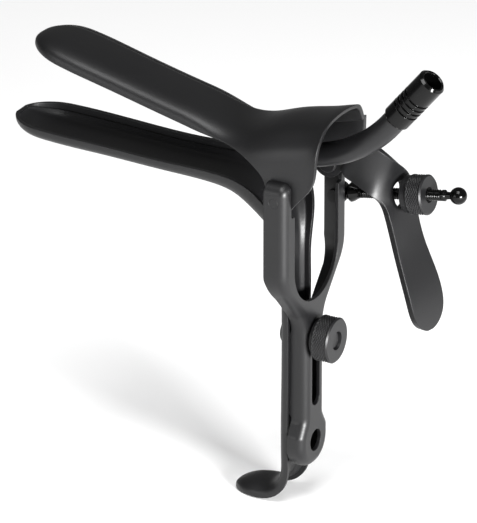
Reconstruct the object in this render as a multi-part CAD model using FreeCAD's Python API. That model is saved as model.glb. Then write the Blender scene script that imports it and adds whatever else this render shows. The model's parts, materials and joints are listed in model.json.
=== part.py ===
"""Two-bladed speculum with a smoke tube, in millimetres.

While it is drawn, X = 0 is the face of the yoke that the operator sees, Y = 0 is the middle plane
and Z = 0 is the height of the blade hinge. The blades point to -X and the handle hangs to -Z.
At the end every piece is raised so that the origin is the centre of the hole in the yoke's foot.
"""
import FreeCAD
import Part
import math
import os

# Sheet metal and running gaps
SHEET = 1.3
WALL_GAP = 0.4              # between sheets that slide past each other
RUNNING = 0.05              # radial, shafts that turn in holes

# Both blades
BLADE_HALF = 12.5           # half width
BLADE_DEPTH = 5.5
SPOON_LENGTH = 15.0         # rounded end of a blade
SQUARENESS = 2.7            # 2 is an ellipse, more is a flatter trough with rounder corners

# Lower blade, handle and finger hook: one trough of sheet
LOWER_REACH = 111.0
LOWER_SLOPE = 2.3
LOWER_WEB_Z = -1.3          # web under the tip
NECK_RADIUS = 22.0          # bend from blade to handle
NECK_HALF = 15.8            # half width at the bend
NECK_DEPTH = 8.6
HANDLE_FRONT = 10.5         # web of the handle ahead of the operator's face
HANDLE_HALF = 8.2
HANDLE_DEPTH = 4.3
HOOK_TOP_Z = -110.0
HOOK_RADIUS = 7.0
HOOK_REACH = 29.0

# Upper blade with its collar
UPPER_REACH = 103.0
UPPER_SLOPE = 14.0
UPPER_CREST = 21.3          # height of the crest line where the flare starts
FLARE_START = 40.0
FLARE_END = 9.0
COLLAR_HALF = 17.4
COLLAR_CREST = 24.5         # crest at the operator's face
COLLAR_SLOPE = 13.0         # the crest rises again towards the mouth
COLLAR_REACH = 9.0
COLLAR_SHOULDER = 16.0
MOUTH_LIP = 0.9

# Hinge of the upper blade
HINGE_X = -4.4
HINGE_EYE = 5.2
HINGE_PIN = 1.6
HINGE_SHOULDER = 2.2
HINGE_HEAD = 3.3
HEAD_THICK = 0.9

# Thumb lever on the far side
LEVER_THICK = 2.2
LEVER_WIDTH = 14.0
LEVER_PAD = 16.0
LEVER_Y = 24.5
LEVER_BOTTOM_Z = -56.0
LEVER_SLOT_WIDTH = 5.2
LEVER_SLOT_LENGTH = 9.0

# Yoke
YOKE_HALF = 22.0
YOKE_TOP = 6.0
YOKE_DEPTH = 8.0
YOKE_CORNER = 2.8
YOKE_INNER_CORNER = 0.8
ARM_CORNER = 3.7            # top of an arm, small enough to clear the rivet's shoulder inside
FORK_HALF = 15.4
FORK_BOTTOM = -41.0
SHOULDER_TOP = -31.0
SHOULDER_BOTTOM = -48.0
PAD_HALF = 9.4
PAD_TOP = -84.0
STEM_BOTTOM = -101.5
HOLE_Z = -92.5
HOLE_RADIUS = 3.75
SLIDE_TRAVEL = 22.0

# Clamp stud and its knurled nut
STUD_Z = -54.9
STUD_RADIUS = 2.5
STUD_HEAD = 4.2
SLOT_GAP = 0.25
CLAMP_RADIUS = 7.7
CLAMP_BAND = 4.6
CLAMP_BOSS = 3.0
CLAMP_BOSS_RADIUS = 5.6
CLAMP_RECESS = 1.4
CLAMP_RECESS_RADIUS = 3.6

# Opening rod, its eye, ball and knurled nut
EYE_Z = -13.5
EYE_RADIUS = 3.7
EYE_THICK = 3.8
EYE_PIN = 1.5
EYE_PIN_HEAD = 2.2
ROD_RADIUS = 1.95
ROD_SLOPE = 9.5
ROD_LENGTH = 44.1           # eye to the centre of the ball
LEVER_CROSSING = 21.4       # eye to the middle of the lever
BALL_RADIUS = 2.9
NUT_START = 25.1            # from the eye's centre
NUT_BOSS = 3.5
NUT_BAND = 4.8
NUT_RADIUS = 6.7
NUT_BOSS_RADIUS = 5.2

# Smoke tube and its hose fitting
TUBE_RADIUS = 4.0
TUBE_WALL = 0.7
TUBE_SEAT = 0.45            # under the crest, filled by the solder seam
TUBE_REACH = 52.0
TUBE_BEND = 46.0
TUBE_BEND_START = 20.0
TUBE_RISE = 50.5
TUBE_TOP_RUN = 9.0
FITTING_LENGTH = 20.5
FITTING_RADIUS = 4.75
FITTING_BORE = 3.3
FITTING_SOCKET = 6.0
GROOVE_COUNT = 4
GROOVE_PITCH = 2.0
GROOVE_WIDTH = 0.9
GROOVE_DEPTH = 0.5
GROOVE_FROM_END = 7.0

SLICE_POINTS = 8            # points on a rounded section
REACH = 300.0               # longer than anything that it cuts


def vec(x, y, z):
    return FreeCAD.Vector(x, y, z)


def smooth(share):
    """Goes from 0 to 1 with level ends."""
    share = min(max(share, 0.0), 1.0)
    return share * share * (3.0 - 2.0 * share)


def power(value, exponent):
    return math.copysign(abs(value) ** exponent, value)


def cylinder(radius, start, direction, length):
    return Part.makeCylinder(radius, length, start, direction)


def rounded_outline(corners):
    """A closed wire of straight runs through (a, b, radius) corners, each rounded by its radius."""
    points = [FreeCAD.Vector(a, b, 0) for a, b, radius in corners]
    edges = []
    last_end = None
    first_start = None
    for index, corner in enumerate(points):
        radius = corners[index][2]
        before = (points[index - 1] - corner).normalize()
        after = (points[(index + 1) % len(points)] - corner).normalize()
        half_turn = before.getAngle(after) / 2.0
        cut = radius / math.tan(half_turn) if radius > 0 else 0.0
        start = corner + before * cut
        end = corner + after * cut
        if last_end is not None:
            edges.append(Part.LineSegment(last_end, start).toShape())
        else:
            first_start = start
        if radius > 0:
            centre = corner + (before + after).normalize() * (radius / math.sin(half_turn))
            middle = centre + (corner - centre).normalize() * radius
            edges.append(Part.Arc(start, middle, end).toShape())
        last_end = end
    edges.append(Part.LineSegment(last_end, first_start).toShape())
    return Part.Wire(edges)


def mirrored(corners):
    """Corners of one half, listed from bottom to top, and their mirror images."""
    other = [(-a, b, radius) for a, b, radius in reversed(corners)]
    return corners + other


def stand_up(shape):
    """Takes a drawing in the XY plane to the YZ plane, with its drawing depth along +X."""
    turned = shape.copy()
    turned.transformShape(FreeCAD.Matrix(0, 0, 1, 0, 1, 0, 0, 0, 0, 1, 0, 0, 0, 0, 0, 1))
    return turned


def side_prism(wire, half_width):
    """An XZ drawing made a solid on both sides of the middle plane."""
    face = Part.Face(wire)
    face.translate(vec(0, -half_width, 0))
    return face.extrude(vec(0, 2 * half_width, 0))


def rounded_half(half_width, height):
    """Points over a rounded arch, from its left foot to its right foot."""
    points = []
    for index in range(SLICE_POINTS + 1):
        angle = math.pi * (1.0 - index / SLICE_POINTS)
        across = half_width * power(math.cos(angle), 2.0 / SQUARENESS)
        up = height * power(math.sin(angle), 2.0 / SQUARENESS)
        points.append((across, up))
    return points


def section_wire(place, half_width, height, leg):
    """An arch of the given height on legs, closed across its feet. place(across, up) gives a point."""
    arch = [place(across, up) for across, up in rounded_half(half_width, height)]
    curve = Part.BSplineCurve()
    down = place(0, -1) - place(0, 0)
    shares = [index / SLICE_POINTS for index in range(SLICE_POINTS + 1)]
    curve.interpolate(Points=arch, Parameters=shares, InitialTangent=down * -1.0, FinalTangent=down)
    left_foot = place(-half_width, -leg)
    right_foot = place(half_width, -leg)
    return Part.Wire([
        Part.LineSegment(left_foot, arch[0]).toShape(),
        curve.toShape(),
        Part.LineSegment(arch[-1], right_foot).toShape(),
        Part.LineSegment(right_foot, left_foot).toShape(),
    ])


def spoon_shares():
    """Places along a spoon's rounded end, and its width there as a share of the full width."""
    shares = []
    for angle in (14, 32, 52, 72, 90):
        along = 1.0 - math.cos(math.radians(angle))
        shares.append((along, math.sin(math.radians(angle))))
    return shares


# Lower blade

def lower_stations():
    """(x, z, heading, half width, depth) of the trough's web, from the blade's tip to the hook's."""
    slope = math.radians(LOWER_SLOPE)
    bend_x = -HANDLE_FRONT - NECK_RADIUS * (1.0 - math.sin(slope))
    bend_z = LOWER_WEB_Z - (LOWER_REACH + bend_x) * math.tan(slope)
    centre_x = bend_x - NECK_RADIUS * math.sin(slope)
    centre_z = bend_z - NECK_RADIUS * math.cos(slope)
    stations = []
    for along, share in spoon_shares():
        step = along * SPOON_LENGTH
        z = LOWER_WEB_Z - step * math.tan(slope)
        stations.append((-LOWER_REACH + step, z, LOWER_SLOPE, BLADE_HALF * share, BLADE_DEPTH * share))
    for share in (0.35, 0.7):
        x = -LOWER_REACH + SPOON_LENGTH + share * (LOWER_REACH + bend_x - SPOON_LENGTH)
        z = LOWER_WEB_Z - (x + LOWER_REACH) * math.tan(slope)
        stations.append((x, z, LOWER_SLOPE, BLADE_HALF, BLADE_DEPTH))
    for share in (0.0, 0.2, 0.4, 0.6, 0.8, 1.0):
        heading = LOWER_SLOPE + share * (90.0 - LOWER_SLOPE)
        angle = math.radians(heading)
        if share <= 0.4:
            swell = 0.3 + 0.7 * smooth(share / 0.4)
            half = BLADE_HALF + swell * (NECK_HALF - BLADE_HALF)
            depth = BLADE_DEPTH + swell * (NECK_DEPTH - BLADE_DEPTH)
        else:
            swell = 1.0 - smooth((share - 0.4) / 0.6)
            half = HANDLE_HALF + swell * (NECK_HALF - HANDLE_HALF)
            depth = HANDLE_DEPTH + swell * (NECK_DEPTH - HANDLE_DEPTH)
        x = centre_x + NECK_RADIUS * math.sin(angle)
        z = centre_z + NECK_RADIUS * math.cos(angle)
        stations.append((x, z, heading, half, depth))
    hook_bend_z = HOOK_TOP_Z + HOOK_RADIUS
    for z in (centre_z - 9.0, centre_z - 18.0, hook_bend_z + 30.0, hook_bend_z + 4.0):
        stations.append((-HANDLE_FRONT, z, 90.0, HANDLE_HALF, HANDLE_DEPTH))
    hook_x = -HANDLE_FRONT - HOOK_RADIUS
    for heading in (90.0, 120.0, 150.0, 180.0):
        angle = math.radians(heading)
        x = hook_x + HOOK_RADIUS * math.sin(angle)
        z = hook_bend_z + HOOK_RADIUS * math.cos(angle)
        stations.append((x, z, heading, HANDLE_HALF, HANDLE_DEPTH))
    run = HOOK_REACH + hook_x
    for along, share in reversed(spoon_shares()[:-1]):
        stations.append((-HOOK_REACH + along * run, HOOK_TOP_Z, 180.0, HANDLE_HALF * share, HANDLE_DEPTH * share))
    return stations


def lower_loft(inset):
    """The trough as a filled bar. inset makes it smaller by the sheet, and taller past its rim."""
    wires = []
    stations = lower_stations()
    last = len(stations) - 1
    for index, (x, z, heading, half, depth) in enumerate(stations):
        angle = math.radians(heading)
        forward = vec(math.cos(angle), 0, -math.sin(angle))
        hollow = vec(math.sin(angle), 0, math.cos(angle))
        full_depth = HANDLE_DEPTH if index > last - 4 else max(depth, BLADE_DEPTH)
        if index > 6 and index <= last - 4:
            full_depth = depth
        centre = vec(x, 0, z) + hollow * full_depth
        if index == 0:
            centre = centre + forward * inset
        if index == last:
            centre = centre - forward * inset

        def place(across, up, centre=centre, hollow=hollow):
            return centre + vec(0, across, 0) - hollow * up

        half = max(half - inset, 0.4)
        depth = max(depth - inset, 0.3)
        wires.append(section_wire(place, half, depth, 0.01 + 2.0 * inset))
    return Part.makeLoft(wires, True, False)


def lower_blade():
    trough = lower_loft(0.0).cut(lower_loft(SHEET))
    hole = cylinder(STUD_RADIUS, vec(-HANDLE_FRONT - 2, 0, STUD_Z), vec(1, 0, 0), SHEET + 4)
    return trough.cut(hole)


# Upper blade

def upper_crest(x):
    flare = smooth((x + FLARE_START) / (FLARE_START - FLARE_END))
    blade = UPPER_CREST - (x + FLARE_START) * math.tan(math.radians(UPPER_SLOPE))
    collar = COLLAR_CREST + x * math.tan(math.radians(COLLAR_SLOPE))
    return blade + flare * (collar - blade)


def upper_half(x):
    flare = smooth((x + FLARE_START) / (FLARE_START - FLARE_END))
    lip = MOUTH_LIP * smooth((x - COLLAR_REACH / 2) / (COLLAR_REACH / 2))
    return BLADE_HALF + flare * (COLLAR_HALF - BLADE_HALF) + lip


def upper_shoulder(x):
    flare = smooth((x + FLARE_START) / (FLARE_START - FLARE_END))
    return BLADE_DEPTH + flare * (COLLAR_SHOULDER - BLADE_DEPTH)


def upper_loft(inset):
    """The upper blade and collar as a filled arch that stands on legs."""
    wires = []
    foot = -HINGE_EYE - 3.0
    places = []
    for along, share in spoon_shares():
        places.append((-UPPER_REACH + along * SPOON_LENGTH, share))
    flare_steps = 6
    for x in (-UPPER_REACH + 2.0 * SPOON_LENGTH, -FLARE_START - 8.0):
        places.append((x, 1.0))
    for index in range(flare_steps + 1):
        x = -FLARE_START + index * (FLARE_START - FLARE_END) / flare_steps
        places.append((x, 1.0))
    for share in (0.35, 0.7, 1.0):
        places.append((-FLARE_END + share * (FLARE_END + COLLAR_REACH), 1.0))
    for index, (x, share) in enumerate(places):
        if index == 0:
            x = x + inset
        if index == len(places) - 1:
            x = x + inset
        half = max(upper_half(x) * share - inset, 0.4)
        height = max(upper_shoulder(x) * share - inset, 0.3)
        spring = upper_crest(x) - upper_shoulder(x)

        def place(across, up, x=x, spring=spring):
            return vec(x, across, spring + up)

        wires.append(section_wire(place, half, height, spring - foot + 2.0 * inset))
    return Part.makeLoft(wires, True, False)


def upper_side_wire():
    """The side view that trims the upper blade: rim line, front of the wing, hinge eye and mouth."""
    slope = math.tan(math.radians(UPPER_SLOPE))
    rim_start = vec(-FLARE_START, 0, UPPER_CREST - BLADE_DEPTH)
    tip = vec(-REACH, 0, rim_start.z + (REACH - FLARE_START) * slope)
    eye_front = vec(HINGE_X - HINGE_EYE, 0, 0)
    wing = Part.BSplineCurve()
    wing.interpolate(
        Points=[rim_start, vec(-19.0, 0, 11.4), vec(-12.0, 0, 7.2), eye_front],
        InitialTangent=vec(1, 0, -slope), FinalTangent=vec(0, 0, -1))
    leave = math.radians(-28.0)
    eye_back = vec(HINGE_X + HINGE_EYE * math.cos(leave), 0, HINGE_EYE * math.sin(leave))
    eye_low = vec(HINGE_X, 0, -HINGE_EYE)
    mouth = Part.BSplineCurve()
    mouth_top = vec(COLLAR_REACH, 0, COLLAR_CREST + 12.0)
    mouth.interpolate(
        Points=[eye_back, vec(COLLAR_REACH - 1.6, 0, 7.0), vec(COLLAR_REACH - 0.4, 0, 16.0), mouth_top],
        InitialTangent=vec(0.6, 0, 0.8), FinalTangent=vec(0, 0, 1))
    far_top = vec(-REACH, 0, REACH)
    return Part.Wire([
        Part.LineSegment(tip, rim_start).toShape(),
        wing.toShape(),
        Part.Arc(eye_front, eye_low, eye_back).toShape(),
        mouth.toShape(),
        Part.LineSegment(mouth_top, far_top).toShape(),
        Part.LineSegment(far_top, tip).toShape(),
    ])


def lever_stations():
    """(centre, width direction, width) of the thumb lever, from the collar's far wall to its end."""
    wall = COLLAR_HALF + 0.1 - LEVER_THICK / 2.0
    cross = lever_crossing()
    lean = vec(0.22, 0.97, 0)
    bottom = LEVER_BOTTOM_Z
    return [
        (vec(3.6, wall, 4.6), vec(0.35, 0, 0.94), LEVER_WIDTH - 1.0),
        (vec(6.5, wall, 3.2), vec(0.45, 0, 0.89), LEVER_WIDTH + 2.0),
        (vec(10.0, wall + 0.5, 1.2), vec(0.5, 0.05, 0.85), LEVER_WIDTH + 1.5),
        (vec(14.3, wall + 3.0, -3.2), vec(0.5, 0.55, 0.6), LEVER_WIDTH),
        (cross + vec(-0.5, -0.7, 1.6), vec(0.35, 0.92, 0.15), LEVER_WIDTH),
        (cross + vec(1.4, 0, -5.5), lean, LEVER_WIDTH),
        (vec(cross.x + 5.1, LEVER_Y, bottom * 0.52), lean, LEVER_WIDTH),
        (vec(cross.x + 10.4, LEVER_Y, bottom + 11.5), lean, LEVER_PAD),
        (vec(cross.x + 11.7, LEVER_Y, bottom + 5.0), lean, LEVER_PAD * 0.86),
        (vec(cross.x + 12.0, LEVER_Y, bottom + 1.3), lean, LEVER_PAD * 0.5),
        (vec(cross.x + 12.0, LEVER_Y, bottom), lean, LEVER_PAD * 0.16),
    ]


def lever():
    """The strip that carries the far wall on, back and down to the thumb pad."""
    stations = lever_stations()
    wires = []
    for index, (centre, across, width) in enumerate(stations):
        before = stations[max(index - 1, 0)][0]
        after = stations[min(index + 1, len(stations) - 1)][0]
        heading = (after - before).normalize()
        across = vec(*across)
        across = (across - heading * across.dot(heading)).normalize()
        normal = heading.cross(across).normalize()
        half = across * (width / 2.0)
        thick = normal * (LEVER_THICK / 2.0)
        corners = [centre - half - thick, centre + half - thick, centre + half + thick, centre - half + thick]
        wires.append(Part.makePolygon(corners + [corners[0]]))
    return Part.makeLoft(wires, True, False)


def rod_direction():
    slope = math.radians(ROD_SLOPE)
    return vec(math.cos(slope), 0, math.sin(slope))


def rod_point(distance):
    return vec(HINGE_X, LEVER_Y, EYE_Z) + rod_direction() * distance


def lever_crossing():
    return rod_point(LEVER_CROSSING)


def lever_slot():
    """The slot that the opening rod swings in."""
    half = LEVER_SLOT_WIDTH / 2.0
    run = LEVER_SLOT_LENGTH / 2.0 - half
    corners = mirrored([(half, -run - half, half * 0.99), (half, run + half, half * 0.99)])
    slot = stand_up(Part.Face(rounded_outline(corners))).extrude(vec(12.0, 0, 0))
    slot.translate(vec(-6.0, 0, 0))
    slot.rotate(vec(0, 0, 0), vec(0, 1, 0), -ROD_SLOPE)
    slot.translate(lever_crossing())
    return slot


def upper_blade():
    shell = upper_loft(0.0).cut(upper_loft(SHEET))
    shell = shell.common(side_prism(upper_side_wire(), YOKE_HALF * 2))
    body = shell.fuse(lever().cut(lever_slot()))
    pin_hole = cylinder(HINGE_PIN + RUNNING, vec(HINGE_X, -YOKE_HALF, 0), vec(0, 1, 0), 2 * YOKE_HALF)
    return body.cut(pin_hole)


# Yoke

def yoke_corners(inset):
    """Half of the yoke's outline, seen by the operator, from its bottom to the top of an arm."""
    stem = stem_half()
    return [
        (PAD_HALF - inset, STEM_BOTTOM + inset, PAD_HALF - inset - 0.6),
        (PAD_HALF - inset, PAD_TOP - 5.0, 3.0),
        (stem - inset, PAD_TOP, 4.0),
        (stem - inset, SHOULDER_BOTTOM, 12.0 + inset),
        (YOKE_HALF - inset, SHOULDER_TOP, 14.0 - inset),
        (YOKE_HALF - inset, YOKE_TOP - inset, ARM_CORNER - inset),
    ]


def stem_half():
    return HANDLE_HALF - SHEET - WALL_GAP


def rounded_prism(corners, front, back, radius):
    """A prism between two X planes, with the edges of its back face rounded."""
    face = stand_up(Part.Face(rounded_outline(mirrored(corners))))
    face.translate(vec(front, 0, 0))
    prism = face.extrude(vec(back - front, 0, 0))
    rims = [edge for edge in prism.Edges if edge.BoundBox.XMin > back - 1e-4]
    return prism.makeFillet(radius, rims)


def yoke_depth_wire():
    """Side view of the yoke: how far its edges are turned forward at each height."""
    nested = HANDLE_FRONT - HANDLE_DEPTH + 1.0
    behind_handle = HANDLE_FRONT - HANDLE_DEPTH - WALL_GAP
    corners = [
        (1.0, YOKE_TOP + 1.0, 0.0),
        (-YOKE_DEPTH, YOKE_TOP + 1.0, 0.0),
        (-YOKE_DEPTH, SHOULDER_TOP + 3.0, 4.0),
        (-behind_handle, SHOULDER_TOP - 5.0, 4.0),
        (-behind_handle, SHOULDER_BOTTOM - 3.5, 0.5),
        (-nested, SHOULDER_BOTTOM - 6.0, 0.5),
        (-nested, PAD_TOP + 3.0, 0.5),
        (-behind_handle, PAD_TOP + 1.0, 0.5),
        (-behind_handle, STEM_BOTTOM - 1.0, 0.0),
        (1.0, STEM_BOTTOM - 1.0, 0.0),
    ]
    wire = rounded_outline(corners)
    wire.rotate(vec(0, 0, 0), vec(1, 0, 0), 90)
    return wire


def fork_gap():
    """The open space between the arms, with the step that lets the blade's hinge eye turn."""
    wide = COLLAR_HALF + WALL_GAP
    step_z = -HINGE_EYE - 0.9
    corners = mirrored([
        (FORK_HALF, FORK_BOTTOM, FORK_HALF - 0.3),
        (FORK_HALF, step_z, 0.8),
        (wide, step_z, 1.0),
        (wide, YOKE_TOP + 2.0, 0.0),
    ])
    gap = stand_up(Part.Face(rounded_outline(corners))).extrude(vec(YOKE_DEPTH + 6, 0, 0))
    gap.translate(vec(-YOKE_DEPTH - 4, 0, 0))
    return gap


def stem_slot():
    half = STUD_RADIUS + SLOT_GAP
    top = STUD_Z + half
    bottom = STUD_Z - SLIDE_TRAVEL - half
    corners = mirrored([(half, bottom, half * 0.99), (half, top, half * 0.99)])
    slot = stand_up(Part.Face(rounded_outline(corners))).extrude(vec(SHEET + 4, 0, 0))
    slot.translate(vec(-SHEET - 2, 0, 0))
    return slot


def yoke():
    depth = HANDLE_FRONT + 2.0
    outer = rounded_prism(yoke_corners(0.0), -depth, 0.0, YOKE_CORNER)
    inner = rounded_prism(yoke_corners(SHEET), -depth - 2.0, -SHEET, YOKE_INNER_CORNER)
    sheet = outer.cut(inner).common(side_prism(yoke_depth_wire(), 2 * YOKE_HALF))
    sheet = sheet.cut(fork_gap()).cut(stem_slot())
    hole = cylinder(HOLE_RADIUS, vec(-SHEET - 2, 0, HOLE_Z), vec(1, 0, 0), SHEET + 4)
    pins = cylinder(HINGE_PIN, vec(HINGE_X, -YOKE_HALF - 1, 0), vec(0, 1, 0), 2 * YOKE_HALF + 2)
    eye_pin = cylinder(EYE_PIN, vec(HINGE_X, 0, EYE_Z), vec(0, 1, 0), YOKE_HALF + 2)
    return sheet.cut(hole).cut(pins).cut(eye_pin)


def hinge_rivet(side):
    """A shouldered rivet: flush outside, a spacing shoulder inside the arm, a head inside the wing."""
    axis = vec(0, -side, 0)
    outside = vec(HINGE_X, side * YOKE_HALF, 0)
    arm_inside = YOKE_HALF - SHEET
    shoulder_length = arm_inside - COLLAR_HALF - 0.15
    shank = cylinder(HINGE_PIN, outside, axis, YOKE_HALF - COLLAR_HALF + SHEET + 0.2)
    shoulder = cylinder(HINGE_SHOULDER, vec(HINGE_X, side * arm_inside, 0), axis, shoulder_length)
    head_y = COLLAR_HALF - SHEET - 0.15
    head = cylinder(HINGE_HEAD, vec(HINGE_X, side * head_y, 0), axis, HEAD_THICK)
    rims = [edge for edge in head.Edges if abs(edge.BoundBox.YMin - side * (head_y - HEAD_THICK)) < 1e-4]
    head = head.makeFillet(HEAD_THICK * 0.6, rims)
    return shank.fuse([shoulder, head]).removeSplitter()


# Clamp

def clamp_stud():
    start = vec(-HANDLE_FRONT, 0, STUD_Z)
    shank = cylinder(STUD_RADIUS, start, vec(1, 0, 0), HANDLE_FRONT + clamp_end() - CLAMP_RECESS + 0.6)
    head = cylinder(STUD_HEAD, start - vec(1.0, 0, 0), vec(1, 0, 0), 1.0)
    rims = [edge for edge in head.Edges if edge.BoundBox.XMax < start.x - 0.9]
    head = head.makeFillet(0.7, rims)
    return shank.fuse(head)


def clamp_end():
    return 0.15 + CLAMP_BOSS + CLAMP_BAND


def turned_nut(start, direction, bore, boss_radius, boss, radius, band, recess_radius, recess):
    """A round nut with a bevelled boss, a gripping band and a dished outer face."""
    bevel = 0.6
    outline = [
        (bore, 0.0), (boss_radius, 0.0), (boss_radius + bevel, bevel), (boss_radius + bevel, boss - bevel),
        (radius - bevel, boss), (radius, boss + bevel), (radius, boss + band - bevel),
        (radius - bevel, boss + band), (recess_radius, boss + band),
        (recess_radius - 0.3, boss + band - recess), (bore, boss + band - recess),
    ]
    points = [vec(across, 0, along) for across, along in outline]
    face = Part.Face(Part.makePolygon(points + [points[0]]))
    nut = face.revolve(vec(0, 0, 0), vec(0, 0, 1), 360)
    turn = FreeCAD.Rotation(vec(0, 0, 1), direction)
    nut.Placement = FreeCAD.Placement(start, turn)
    return nut


def clamp_nut():
    return turned_nut(
        vec(0.15, 0, STUD_Z), vec(1, 0, 0), STUD_RADIUS + RUNNING, CLAMP_BOSS_RADIUS, CLAMP_BOSS,
        CLAMP_RADIUS, CLAMP_BAND, CLAMP_RECESS_RADIUS, CLAMP_RECESS)


# Opening rod

def opening_rod():
    """Shank with a flat eye that turns on the arm's pin, and a taper between them."""
    centre = rod_point(0.0)
    eye = cylinder(EYE_RADIUS, centre - vec(0, EYE_THICK / 2.0, 0), vec(0, 1, 0), EYE_THICK)
    taper_length = 7.0
    taper = Part.makeCone(EYE_RADIUS * 0.8, ROD_RADIUS, taper_length, rod_point(1.5), rod_direction())
    slab = Part.makeBox(4 * EYE_RADIUS, EYE_THICK, 6 * EYE_RADIUS)
    slab.translate(centre - vec(EYE_RADIUS, EYE_THICK / 2.0, 3 * EYE_RADIUS))
    shank = cylinder(ROD_RADIUS, rod_point(3.0), rod_direction(), ROD_LENGTH - BALL_RADIUS - 2.3 - 3.0)
    neck = cylinder(ROD_RADIUS * 0.6, rod_point(3.0), rod_direction(), ROD_LENGTH - 3.0)
    ball = Part.makeSphere(BALL_RADIUS - 1.0, rod_point(ROD_LENGTH))
    rod = eye.fuse([taper.common(slab), shank, neck.cut(ball)])
    hole = cylinder(EYE_PIN + RUNNING, centre - vec(0, YOKE_HALF, 0), vec(0, 1, 0), 2 * YOKE_HALF)
    return rod.cut(hole)


def rod_ball():
    """Ball stop that is riveted on the rod's end after the nut is on."""
    ball = Part.makeSphere(BALL_RADIUS, rod_point(ROD_LENGTH))
    neck = cylinder(ROD_RADIUS * 0.6, rod_point(3.0), rod_direction(), ROD_LENGTH - 3.0)
    core = Part.makeSphere(BALL_RADIUS - 1.0, rod_point(ROD_LENGTH))
    return ball.cut(neck.cut(core))


def opening_nut():
    return turned_nut(
        rod_point(NUT_START), rod_direction(), ROD_RADIUS + RUNNING, NUT_BOSS_RADIUS, NUT_BOSS,
        NUT_RADIUS, NUT_BAND, ROD_RADIUS + 1.0, 0.6)


def rod_pivot():
    """Rivet through the far arm that the rod's eye turns on."""
    inside = YOKE_HALF - SHEET - HEAD_THICK
    outside = LEVER_Y + EYE_THICK / 2.0 + 0.15
    base = vec(HINGE_X, inside, EYE_Z)
    shank = cylinder(EYE_PIN, base, vec(0, 1, 0), outside - inside)
    inner_head = cylinder(EYE_PIN_HEAD, base, vec(0, 1, 0), HEAD_THICK)
    outer_head = cylinder(EYE_PIN_HEAD, vec(base.x, outside, base.z), vec(0, 1, 0), HEAD_THICK)
    rims = [edge for edge in outer_head.Edges if edge.BoundBox.YMin > outside + HEAD_THICK - 1e-4]
    outer_head = outer_head.makeFillet(HEAD_THICK * 0.6, rims)
    return shank.fuse([inner_head, outer_head])


# Smoke tube

def tube_path():
    """Straight run under the blade's crest, one large bend and a short run up to the fitting."""
    slope = math.radians(UPPER_SLOPE)
    rise = math.radians(TUBE_RISE)
    under = (SHEET + TUBE_RADIUS + TUBE_SEAT) / math.cos(slope)
    start_z = UPPER_CREST + (TUBE_REACH - FLARE_START) * math.tan(slope) - under
    start = vec(-TUBE_REACH, 0, start_z)
    run = (TUBE_REACH - TUBE_BEND_START) / math.cos(slope)
    bend_start = start + vec(math.cos(slope), 0, -math.sin(slope)) * run
    centre = bend_start + vec(math.sin(slope), 0, math.cos(slope)) * TUBE_BEND
    middle_angle = (rise - slope) / 2.0
    bend_middle = centre + vec(math.sin(middle_angle), 0, -math.cos(middle_angle)) * TUBE_BEND
    bend_end = centre + vec(math.sin(rise), 0, -math.cos(rise)) * TUBE_BEND
    up = vec(math.cos(rise), 0, math.sin(rise))
    end = bend_end + up * TUBE_TOP_RUN
    wire = Part.Wire([
        Part.LineSegment(start, bend_start).toShape(),
        Part.Arc(bend_start, bend_middle, bend_end).toShape(),
        Part.LineSegment(bend_end, end).toShape(),
    ])
    return wire, start, end, up


def pipe(radius):
    wire, start, end, up = tube_path()
    first = wire.Edges[0]
    direction = first.tangentAt(first.FirstParameter)
    circle = Part.Wire(Part.makeCircle(radius, start, direction))
    return wire.makePipeShell([circle], True, False)


def smoke_tube():
    return pipe(TUBE_RADIUS).cut(pipe(TUBE_RADIUS - TUBE_WALL))


def hose_fitting():
    """Collar over the tube's end, gripping rings, and a plain nose with an open bore."""
    wire, start, end, up = tube_path()
    socket = TUBE_RADIUS + 0.0
    points = [
        (FITTING_BORE, FITTING_SOCKET), (socket, FITTING_SOCKET), (socket, 0.0),
        (FITTING_RADIUS - 0.3, 0.0), (FITTING_RADIUS, 0.5),
    ]
    ring_start = FITTING_LENGTH - GROOVE_FROM_END - GROOVE_COUNT * GROOVE_PITCH
    for index in range(GROOVE_COUNT):
        low = ring_start + index * GROOVE_PITCH
        points += [
            (FITTING_RADIUS, low), (FITTING_RADIUS - GROOVE_DEPTH, low + 0.15),
            (FITTING_RADIUS - GROOVE_DEPTH, low + GROOVE_WIDTH - 0.15), (FITTING_RADIUS, low + GROOVE_WIDTH),
        ]
    points += [
        (FITTING_RADIUS, FITTING_LENGTH - 0.8), (FITTING_RADIUS - 0.7, FITTING_LENGTH),
        (FITTING_BORE + 0.3, FITTING_LENGTH), (FITTING_BORE, FITTING_LENGTH - 0.3),
    ]
    outline = [vec(across, 0, along) for across, along in points]
    face = Part.Face(Part.makePolygon(outline + [outline[0]]))
    fitting = face.revolve(vec(0, 0, 0), vec(0, 0, 1), 360)
    turn = FreeCAD.Rotation(vec(0, 0, 1), up)
    fitting.Placement = FreeCAD.Placement(end - up * FITTING_SOCKET, turn)
    return fitting


def build():
    return {
        "lower_blade": lower_blade(),
        "clamp_stud": clamp_stud(),
        "clamp_nut": clamp_nut(),
        "yoke": yoke(),
        "hinge_rivet_near": hinge_rivet(-1),
        "hinge_rivet_far": hinge_rivet(1),
        "rod_pivot": rod_pivot(),
        "upper_blade": upper_blade(),
        "smoke_tube": smoke_tube(),
        "hose_fitting": hose_fitting(),
        "opening_rod": opening_rod(),
        "rod_ball": rod_ball(),
        "opening_nut": opening_nut(),
    }


def main():
    """Writes each piece with the origin at the centre of the foot's hole, on the operator's face."""
    os.makedirs("parts", exist_ok=True)
    for name, shape in build().items():
        if len(shape.Solids) == 1:
            shape = shape.Solids[0]
        shape.translate(vec(0, 0, -HOLE_Z))
        shape.exportStep("parts/" + name + ".step")
        print(name, len(shape.Solids), round(shape.Volume, 1), shape.isValid())


main()
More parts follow.
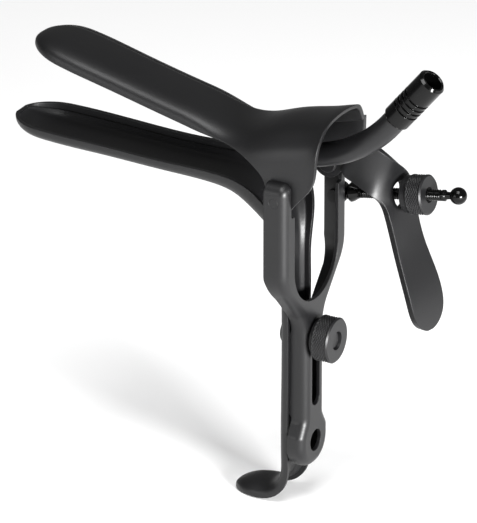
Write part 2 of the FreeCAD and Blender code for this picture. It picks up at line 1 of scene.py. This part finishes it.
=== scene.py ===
# %% [markdown]
# # A black coated bivalve speculum
# The formed sheets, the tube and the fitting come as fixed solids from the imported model. This
# lesson gives them their finishes, and models what is too fine for the solids: the knurled nuts
# and the screw thread. Everything is in metres, and +Z is up.

# %% Load the fixed frame
import json
import math

import bpy
from mathutils import Matrix, Vector


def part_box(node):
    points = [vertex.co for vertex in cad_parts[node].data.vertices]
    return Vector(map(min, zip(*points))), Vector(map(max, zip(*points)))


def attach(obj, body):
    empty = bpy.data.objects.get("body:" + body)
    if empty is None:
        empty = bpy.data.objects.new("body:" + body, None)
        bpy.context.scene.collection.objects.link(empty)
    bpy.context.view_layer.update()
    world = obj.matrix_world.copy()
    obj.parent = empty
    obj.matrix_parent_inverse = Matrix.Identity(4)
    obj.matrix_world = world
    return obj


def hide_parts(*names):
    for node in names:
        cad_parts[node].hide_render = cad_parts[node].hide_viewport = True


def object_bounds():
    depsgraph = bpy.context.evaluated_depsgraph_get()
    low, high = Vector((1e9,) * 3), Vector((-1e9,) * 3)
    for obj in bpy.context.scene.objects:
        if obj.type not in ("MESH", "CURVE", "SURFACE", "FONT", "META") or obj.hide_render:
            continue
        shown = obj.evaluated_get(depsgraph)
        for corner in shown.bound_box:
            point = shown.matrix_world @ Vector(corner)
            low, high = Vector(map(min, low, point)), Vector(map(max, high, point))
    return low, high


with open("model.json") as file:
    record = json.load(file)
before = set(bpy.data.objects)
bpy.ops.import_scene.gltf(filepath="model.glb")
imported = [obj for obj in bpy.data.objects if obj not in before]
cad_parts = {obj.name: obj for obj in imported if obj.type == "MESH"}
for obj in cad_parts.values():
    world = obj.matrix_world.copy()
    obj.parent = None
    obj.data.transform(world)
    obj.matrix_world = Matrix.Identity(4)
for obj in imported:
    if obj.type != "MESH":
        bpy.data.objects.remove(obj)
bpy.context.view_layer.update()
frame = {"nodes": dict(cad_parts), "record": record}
NODES = frame["nodes"]
MM = 0.001

# %% [markdown]
# ## The camera
# The photograph looks down a little and from the operator's side. It has hardly any perspective,
# so a long lens far away shows the same view. The lens follows from the height that the picture
# must take in.

# %% Camera
VIEW_AZIMUTH = math.radians(28.1)
VIEW_ELEVATION = math.radians(24.2)
VIEW_CENTRE = Vector((-0.0288, 0.0, 0.0583))
VIEW_HEIGHT = 0.1715
VIEW_DISTANCE = 2.2
SENSOR = 36.0


def direction(azimuth, elevation):
    """Points from the object to someone who stands at these angles. Azimuth 0 looks along +Y."""
    level = math.cos(elevation)
    return Vector((math.sin(azimuth) * level, -math.cos(azimuth) * level, math.sin(elevation)))


def aim(thing, place, target):
    thing.location = place
    thing.rotation_euler = (target - place).to_track_quat("-Z", "Y").to_euler()


camera = bpy.data.objects.new("camera", bpy.data.cameras.new("camera"))
bpy.context.scene.collection.objects.link(camera)
camera.data.sensor_fit = "VERTICAL"
camera.data.sensor_height = SENSOR
camera.data.lens = SENSOR * VIEW_DISTANCE / VIEW_HEIGHT
camera.data.clip_end = 50.0
aim(camera, VIEW_CENTRE + direction(VIEW_AZIMUTH, VIEW_ELEVATION) * VIEW_DISTANCE, VIEW_CENTRE)
bpy.context.scene.camera = camera
print("lens:", round(camera.data.lens), "mm")

# %% [markdown]
# ## Colour and nodes
# Colours are written as the hex values that a picture shows. The shader needs linear light, so
# one function turns them. Another small function adds a node, sets it and links it.

# %% Helpers for materials


def colour(code):
    """An sRGB hex colour as linear red, green, blue and alpha."""
    parts = [int(code[start:start + 2], 16) / 255 for start in (1, 3, 5)]
    linear = [part / 12.92 if part <= 0.04045 else ((part + 0.055) / 1.055) ** 2.4 for part in parts]
    return (*linear, 1.0)


def add_node(material, kind, settings=None, inputs=None):
    """Adds a node. settings are its own values, inputs are values or (node, output) links by name."""
    node = material.node_tree.nodes.new(kind)
    for name, value in (settings or {}).items():
        setattr(node, name, value)
    for name, value in (inputs or {}).items():
        if isinstance(value, tuple) and isinstance(value[0], bpy.types.Node):
            material.node_tree.links.new(value[0].outputs[value[1]], node.inputs[name])
        else:
            node.inputs[name].default_value = value
    return node


def new_material(name):
    material = bpy.data.materials.new(name)
    material.use_nodes = True
    material.node_tree.nodes.clear()
    return material


def per_metre(size_mm):
    """A pattern's scale for features of this size."""
    return 1.0 / (size_mm * MM)


# %% [markdown]
# ## The finishes
# The sheets carry a matt black coating, so that laser light isn't thrown back. It is put on blasted
# steel: a very dark grey with a fine grain, and a broad soft sheen. Polished black steel, on the
# fitting, the rod and the ball, has the same colour but sharp reflections. The tube is in between.

# %% Coated metal


CLOUD_SIZE_MM = 14.0


def coated_metal(name, dark, light, rough, rough_change, grain_mm, grain_depth_mm, edge_mm, level):
    """A black coating on metal, with a cloudy tone, a fine grain and edges that are broken a little."""
    material = new_material(name)
    place = add_node(material, "ShaderNodeTexCoord")
    clouds = add_node(
        material, "ShaderNodeTexNoise", None,
        {"Vector": (place, "Object"), "Scale": per_metre(CLOUD_SIZE_MM), "Detail": 3.0, "Roughness": 0.55})
    grain = add_node(
        material, "ShaderNodeTexNoise", None,
        {"Vector": (place, "Object"), "Scale": per_metre(grain_mm), "Detail": 2.0, "Roughness": 0.6})
    tone = add_node(
        material, "ShaderNodeMix", {"data_type": "RGBA"},
        {"Factor": (clouds, "Fac"), "A": colour(dark), "B": colour(light)})
    gloss = add_node(
        material, "ShaderNodeMapRange", None,
        {"Value": (grain, "Fac"), "To Min": rough - rough_change, "To Max": rough + rough_change})
    edge = add_node(material, "ShaderNodeBevel", {"samples": 6}, {"Radius": edge_mm * MM})
    bump = add_node(
        material, "ShaderNodeBump", None,
        {"Height": (grain, "Fac"), "Distance": grain_depth_mm * MM, "Strength": 0.6,
         "Normal": (edge, "Normal")})
    surface = add_node(
        material, "ShaderNodeBsdfPrincipled", None,
        {"Base Color": (tone, "Result"), "Roughness": (gloss, "Result"), "Normal": (bump, "Normal"),
         "Specular IOR Level": level})
    add_node(material, "ShaderNodeOutputMaterial", None, {"Surface": (surface, "BSDF")})
    return material


FINISHES = {
    # Blasted and coated sheet: the grain is about 0.25 mm, drawn a little coarser so that it shows
    "coated_sheet": coated_metal(
        "blasted_sheet_black_coating", "#0d0d0e", "#111112", rough=0.40, rough_change=0.05,
        grain_mm=0.35, grain_depth_mm=0.012, edge_mm=0.45, level=0.36),
    # The drawn tube is smoother than the sheet, so its sheen is a little tighter
    "coated_tube": coated_metal(
        "satin_tube_black_coating", "#101011", "#141415", rough=0.34, rough_change=0.04,
        grain_mm=0.4, grain_depth_mm=0.006, edge_mm=0.2, level=0.34),
    # The turned nuts, studs and rivets carry the same coating over fine tool marks
    "coated_turned": coated_metal(
        "turned_steel_black_coating", "#0f0f10", "#131314", rough=0.40, rough_change=0.05,
        grain_mm=0.3, grain_depth_mm=0.006, edge_mm=0.08, level=0.28),
    # Polished before it was blackened: nearly no grain, and sharp reflections
    "gloss_black": coated_metal(
        "polished_steel_black", "#020202", "#040404", rough=0.13, rough_change=0.02,
        grain_mm=0.5, grain_depth_mm=0.001, edge_mm=0.15, level=0.22),
}
for row in frame["record"]["subparts"]:
    node = NODES[row["node"]]
    node.data.materials.clear()
    node.data.materials.append(FINISHES[row["material_slot"]])
print("finishes:", len(FINISHES))

# %% [markdown]
# ## Helpers for modelling
# Each piece starts as a primitive about the Z axis, and is shaped in edit mode. Operators act on
# what is selected, so a small function selects points by a test on their place.

# %% Helpers for modelling


def start_edit(piece):
    bpy.ops.object.select_all(action="DESELECT")
    bpy.context.view_layer.objects.active = piece
    piece.select_set(True)
    bpy.ops.object.mode_set(mode="EDIT")
    bpy.ops.mesh.select_all(action="DESELECT")


def select_points(piece, test):
    """Selects the points whose place passes the test, in edit mode."""
    bpy.ops.mesh.select_mode(type="VERT")
    bpy.ops.mesh.select_all(action="DESELECT")
    bpy.ops.object.mode_set(mode="OBJECT")
    for point in piece.data.vertices:
        point.select = bool(test(point.co))
    bpy.ops.object.mode_set(mode="EDIT")


def turn_steps(ring_radius, height, steps):
    """Extrudes the selected ring through (radius, height) steps, as turned on a lathe."""
    for radius, new_height in steps:
        bpy.ops.mesh.extrude_region()
        share = radius / ring_radius
        bpy.ops.transform.resize(value=(share, share, 1.0), center_override=(0.0, 0.0, 0.0))
        bpy.ops.transform.translate(value=(0.0, 0.0, new_height - height))
        ring_radius, height = radius, new_height


def finish_piece(name, start, axis, body, slot, cad_nodes, sharp=35.0):
    """Closes the edit, turns the piece from Z to its axis, puts its place in its mesh and rides it."""
    piece = bpy.context.view_layer.objects.active
    bpy.ops.mesh.select_all(action="SELECT")
    bpy.ops.mesh.remove_doubles(threshold=0.002 * MM)
    bpy.ops.mesh.normals_make_consistent(inside=False)
    bpy.ops.object.mode_set(mode="OBJECT")
    turn = Vector((0.0, 0.0, 1.0)).rotation_difference(axis).to_matrix().to_4x4()
    piece.data.transform(Matrix.Translation(start) @ turn)
    piece.name = name
    piece.data.name = name
    bpy.ops.object.shade_smooth_by_angle(angle=math.radians(sharp))
    piece.data.materials.clear()
    piece.data.materials.append(FINISHES[slot])
    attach(piece, body)
    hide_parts(*cad_nodes)
    print(name, len(piece.data.polygons), "faces")
    return piece


# %% [markdown]
# ## The knurled nuts
# A knurl is rolled into the rim: two sets of slanting furrows cross and leave small diamonds. A
# ring of square faces gives the same when every second point, as on a chess board, is pushed in
# and each square is split from one low point to the other. Its facets have to stay flat.
# The faces of the nut are then turned steps, extruded from the two open rings.

# %% Knurled nuts
KNURL_DEPTH = 0.22 * MM
KNURL_PITCH = 0.8 * MM
CHAMFER = 0.5 * MM
BREAK = 0.3 * MM
NEAR = 0.01 * MM
FACET_ANGLE = 12.0


def node_span(name, start, axis):
    """Where a node begins and ends along an axis, and its largest radius about it."""
    reach = []
    radius = 0.0
    for point in NODES[name].data.vertices:
        offset = point.co - start
        along = offset.dot(axis)
        reach.append(along)
        radius = max(radius, (offset - axis * along).length)
    return min(reach), max(reach), radius


def knurled_nut(node, start, axis, bore, boss, boss_radius, recess_radius, recess):
    """A nut with a plain boss below, a knurled band, and a dished face above."""
    low, high, radius = node_span(node, start, axis)
    band_low = low + boss + CHAMFER
    band_high = high - CHAMFER
    around = 4 * round(math.pi * radius / KNURL_PITCH / 2)
    rows = 2 * round((band_high - band_low) / KNURL_PITCH)
    bpy.ops.object.select_all(action="DESELECT")
    bpy.ops.mesh.primitive_cylinder_add(
        vertices=around, radius=radius, depth=band_high - band_low, end_fill_type="NOTHING",
        location=(0.0, 0.0, (band_low + band_high) / 2))
    piece = bpy.context.view_layer.objects.active
    bpy.ops.object.transform_apply(location=True, rotation=False, scale=False)
    start_edit(piece)
    bpy.ops.mesh.select_mode(type="EDGE")
    bpy.ops.object.mode_set(mode="OBJECT")
    for edge in piece.data.edges:
        ends = [piece.data.vertices[index].co.z for index in edge.vertices]
        edge.select = abs(ends[0] - ends[1]) > CHAMFER
    bpy.ops.object.mode_set(mode="EDIT")
    bpy.ops.mesh.subdivide(number_cuts=rows - 1)

    def furrow(co):
        row = round((co.z - band_low) / (band_high - band_low) * rows)
        column = round(math.atan2(co.y, co.x) / (2 * math.pi) * around)
        return 0 < row < rows and (row + column) % 2 == 0

    select_points(piece, furrow)
    share = (radius - KNURL_DEPTH) / radius
    bpy.ops.transform.resize(value=(share, share, 1.0), center_override=(0.0, 0.0, 0.0))
    bpy.ops.mesh.select_all(action="SELECT")
    bpy.ops.mesh.quads_convert_to_tris(quad_method="SHORTEST_DIAGONAL")
    select_points(piece, lambda co: co.z > band_high - NEAR)
    turn_steps(radius, band_high, [
        (radius - CHAMFER, high), (recess_radius, high), (recess_radius - BREAK, high - recess),
        (bore + BREAK, high - recess), (bore, high - recess - BREAK), (bore, low + BREAK)])
    select_points(piece, lambda co: abs(co.z - band_low) < NEAR and co.xy.length > boss_radius)
    turn_steps(radius, band_low, [
        (radius - CHAMFER, low + boss), (boss_radius, low + boss), (boss_radius, low + CHAMFER),
        (boss_radius - CHAMFER, low), (bore + BREAK, low), (bore, low + BREAK)])
    return piece


X_AXIS = Vector((1.0, 0.0, 0.0))
stud_low, stud_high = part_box("clamp_stud")
stud_centre = (stud_low + stud_high) / 2
CLAMP_START = Vector((0.0, stud_centre.y, stud_centre.z))
knurled_nut(
    "clamp_nut", CLAMP_START, X_AXIS, bore=2.55 * MM, boss=1.4 * MM, boss_radius=6.2 * MM,
    recess_radius=3.2 * MM, recess=1.4 * MM)
finish_piece(
    "clamp_knurled_nut", CLAMP_START, X_AXIS, "clamp_nut_body", "coated_turned", ["clamp_nut"], FACET_ANGLE)

# %% [markdown]
# ## The rod's own line
# The second nut and the thread lie along the opening rod, which slopes up a little. The line is
# read from the frame: it runs from beside the pivot's centre, in the ball's plane, to the ball's
# centre.

# %% Nut on the opening rod
ball_low, ball_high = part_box("rod_ball")
ball_centre = (ball_low + ball_high) / 2
pivot_low, pivot_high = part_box("rod_pivot")
pivot_centre = (pivot_low + pivot_high) / 2
ROD_START = Vector((pivot_centre.x, ball_centre.y, pivot_centre.z))
ROD_AXIS = (ball_centre - ROD_START).normalized()
ROD_LENGTH = (ball_centre - ROD_START).length
knurled_nut(
    "opening_nut", ROD_START, ROD_AXIS, bore=2.0 * MM, boss=2.2 * MM, boss_radius=6.3 * MM,
    recess_radius=2.65 * MM, recess=0.6 * MM)
finish_piece(
    "opening_knurled_nut", ROD_START, ROD_AXIS, "opening_nut_body", "coated_turned", ["opening_nut"],
    FACET_ANGLE)

# %% [markdown]
# ## The screw thread
# A thread is one ridge wound round and round. The Screw modifier winds a small profile, so one
# turn's ridge is drawn as three points and wound at the real pitch.

# %% Screw thread
THREAD_PITCH = 0.8 * MM
THREAD_RADIUS = 1.93 * MM
THREAD_DEPTH = 0.32 * MM
THREAD_FROM = 8.6 * MM
THREAD_TO = ROD_LENGTH - 5.4 * MM
TURN_STEPS = 40


def thread():
    """The wound ridge, along Z."""
    bpy.ops.object.select_all(action="DESELECT")
    bpy.ops.mesh.primitive_plane_add(size=THREAD_PITCH, location=(0.0, 0.0, 0.0))
    piece = bpy.context.view_layer.objects.active
    start_edit(piece)
    select_points(piece, lambda co: co.y > 0)
    bpy.ops.mesh.delete(type="VERT")
    bpy.ops.mesh.select_all(action="SELECT")
    bpy.ops.mesh.subdivide(number_cuts=1)
    bpy.ops.object.mode_set(mode="OBJECT")
    root = THREAD_RADIUS - THREAD_DEPTH
    for point in piece.data.vertices:
        crest = abs(point.co.x) < THREAD_PITCH / 4
        height = THREAD_FROM + THREAD_PITCH / 2 + point.co.x
        point.co = Vector((THREAD_RADIUS if crest else root, 0.0, height))
    wind = piece.modifiers.new("wind", "SCREW")
    wind.axis = "Z"
    wind.screw_offset = THREAD_PITCH
    wind.iterations = int((THREAD_TO - THREAD_FROM) / THREAD_PITCH) - 1
    wind.steps = TURN_STEPS
    wind.render_steps = TURN_STEPS
    wind.use_merge_vertices = False
    bpy.ops.object.modifier_apply(modifier=wind.name)
    return piece


pieces = [thread()]
print("thread turns:", round((THREAD_TO - THREAD_FROM) / THREAD_PITCH))

# %% [markdown]
# ## The rod's core and its taper
# The thread is only a ridge, so a turned bar fills it. At the foot the bar swells into a black taper
# next to the eye, and at the far end it necks down into the ball. It is drawn as (radius, height) steps
# along the rod, as a turner would read them.

# %% Core of the rod


def turned_bar(steps, vertices=48):
    """A turned bar along Z from its first to its last (radius, height), closed at both ends."""
    (radius, low), (_, high) = steps[0], steps[1]
    bpy.ops.object.select_all(action="DESELECT")
    bpy.ops.mesh.primitive_cylinder_add(
        vertices=vertices, radius=radius, depth=high - low, end_fill_type="NGON",
        location=(0.0, 0.0, (high + low) / 2))
    piece = bpy.context.view_layer.objects.active
    bpy.ops.object.transform_apply(location=True, rotation=False, scale=False)
    start_edit(piece)
    select_points(piece, lambda co: co.z > (high + low) / 2)
    share = steps[1][0] / radius
    bpy.ops.transform.resize(value=(share, share, 1.0), center_override=(0.0, 0.0, 0.0))
    turn_steps(steps[1][0], high, steps[2:])
    bpy.ops.object.mode_set(mode="OBJECT")
    return piece


CORE_RADIUS = 1.55 * MM
COLLAR_RADIUS = 1.9 * MM
SHANK_RADIUS = 1.95 * MM
pieces.append(turned_bar([
    (2.4 * MM, 1.9 * MM), (2.4 * MM, 3.6 * MM), (3.3 * MM, 4.8 * MM), (3.1 * MM, 5.6 * MM),
    (2.2 * MM, 7.2 * MM), (SHANK_RADIUS, 8.2 * MM), (SHANK_RADIUS, 8.9 * MM),
    (CORE_RADIUS, 9.2 * MM), (CORE_RADIUS, THREAD_TO - 0.6 * MM), (COLLAR_RADIUS, THREAD_TO - 0.3 * MM),
    (COLLAR_RADIUS, THREAD_TO + 0.6 * MM), (1.3 * MM, THREAD_TO + 1.1 * MM),
    (1.15 * MM, ROD_LENGTH - 1.5 * MM)]))
print("rod length:", round(ROD_LENGTH / MM, 1), "mm")

# %% [markdown]
# ## The eye
# The rod turns on a pin through a flat eye. A short cylinder is turned to lie across the rod, its edges
# are broken, and its two inner rings are bridged into a hole.

# %% Eye of the rod
EYE_BREAK = 0.35 * MM
HOLE_BREAK = 0.2 * MM


def eye(radius, thickness, hole):
    """The flat eye, a disc across the pin's axis with broken edges and a hole."""
    bpy.ops.object.select_all(action="DESELECT")
    bpy.ops.mesh.primitive_cylinder_add(
        vertices=64, radius=radius, depth=thickness, end_fill_type="NOTHING", location=(0.0, 0.0, 0.0))
    piece = bpy.context.view_layer.objects.active
    start_edit(piece)
    for side in (1, -1):
        select_points(piece, lambda co: co.z * side > 0 and co.xy.length > radius * 0.99)
        rim = thickness / 2 * side
        turn_steps(radius, rim, [
            (radius - EYE_BREAK, rim), (hole + HOLE_BREAK, rim), (hole, rim - HOLE_BREAK * side)])
    bpy.ops.object.mode_set(mode="OBJECT")
    for point in piece.data.vertices:
        if point.co.xy.length > radius * 0.99:
            point.co.z *= 1.0 - EYE_BREAK / (thickness / 2)
    start_edit(piece)
    select_points(piece, lambda co: co.xy.length < hole * 1.01)
    bpy.ops.mesh.bridge_edge_loops()
    bpy.ops.object.mode_set(mode="OBJECT")
    return piece


disc = eye(3.7 * MM, 3.8 * MM, 1.55 * MM)
disc.data.transform(Matrix.Rotation(math.radians(90.0), 4, "X"))
pieces.append(disc)
bpy.ops.object.select_all(action="DESELECT")
for part in pieces:
    part.select_set(True)
bpy.context.view_layer.objects.active = pieces[0]
bpy.ops.object.join()
bpy.ops.object.mode_set(mode="EDIT")
finish_piece("threaded_rod", ROD_START, ROD_AXIS, "rod_body", "gloss_black", ["opening_rod"])

# %% [markdown]
# ## Floor and light
# A plain pale floor and three soft boxes. The operator's side gets the strongest light, so the
# turned edges of the yoke shine; the top gets little, and the blades stay dark as in the picture.

# %% Floor and lights
FLOOR_SIZE = 60.0
FLOOR_GAP = 0.5 * MM
WORLD_STRENGTH = 0.18
low_corner, high_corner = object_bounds()
bpy.ops.object.select_all(action="DESELECT")
bpy.ops.mesh.primitive_plane_add(size=FLOOR_SIZE, location=(0.0, 0.0, low_corner.z - FLOOR_GAP))
floor = bpy.context.view_layer.objects.active
floor.name = "floor"
floor_finish = new_material("matt_white_paper")
paper = add_node(
    floor_finish, "ShaderNodeBsdfPrincipled", None,
    {"Base Color": colour("#fafafa"), "Roughness": 0.9, "Specular IOR Level": 0.1})
add_node(floor_finish, "ShaderNodeOutputMaterial", None, {"Surface": (paper, "BSDF")})
floor.data.materials.append(floor_finish)

LIGHTS = [
    # name, azimuth, elevation, distance, width, height, power
    ("operator_softbox", 62.0, 6.0, 1.0, 0.35, 0.2, 32.0),
    ("camera_softbox", -25.0, 12.0, 1.2, 0.7, 0.4, 3.0),
    ("overhead_softbox", 20.0, 68.0, 1.4, 0.8, 0.8, 20.0),
]
middle = (low_corner + high_corner) / 2
for name, azimuth, elevation, distance, width, height, power in LIGHTS:
    data = bpy.data.lights.new(name, "AREA")
    data.shape = "RECTANGLE"
    data.size = width
    data.size_y = height
    data.energy = power
    lamp = bpy.data.objects.new(name, data)
    bpy.context.scene.collection.objects.link(lamp)
    aim(lamp, middle + direction(math.radians(azimuth), math.radians(elevation)) * distance, middle)

world = bpy.data.worlds.new("studio")
world.use_nodes = True
world.node_tree.nodes["Background"].inputs["Color"].default_value = colour("#ffffff")
world.node_tree.nodes["Background"].inputs["Strength"].default_value = WORLD_STRENGTH
bpy.context.scene.world = world
bpy.context.scene.view_settings.view_transform = "Standard"
print("lights:", len(LIGHTS))
